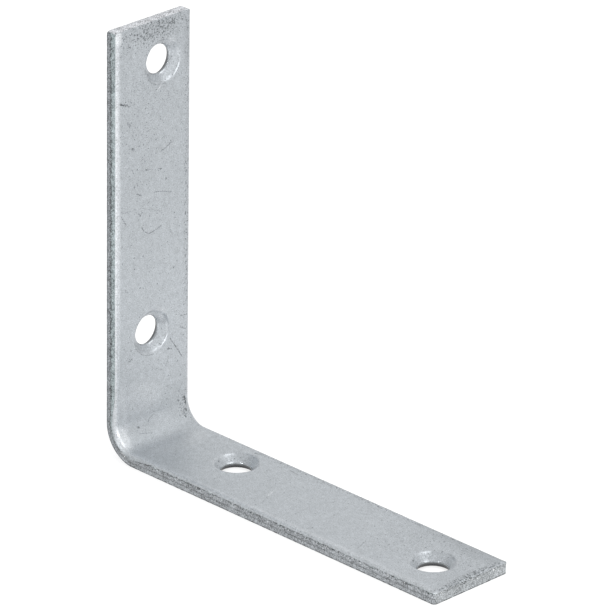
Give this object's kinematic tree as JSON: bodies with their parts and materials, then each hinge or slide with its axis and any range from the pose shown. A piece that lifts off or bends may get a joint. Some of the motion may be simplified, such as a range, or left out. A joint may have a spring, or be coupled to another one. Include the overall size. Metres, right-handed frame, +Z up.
{
  "type": "corner brace bracket",
  "caption": "Flat steel strip bent to a right angle, with staggered countersunk screw holes in each leg, for bracing the inside of a corner.",
  "frame": {"origin": "middle of the footprint, on the plane of the base leg's outer face", "axes": "+X along the base leg from the heel to its free end, +Y across the width, +Z up along the wall leg"},
  "size_m": [0.1016, 0.0232, 0.1016],
  "materials": {
    "zinc_plated_steel": "zinc plated, dull silver grey with fine handling marks"
  },
  "bodies": {
    "root": {"bracket": "zinc_plated_steel"}
  },
  "joints": []
}
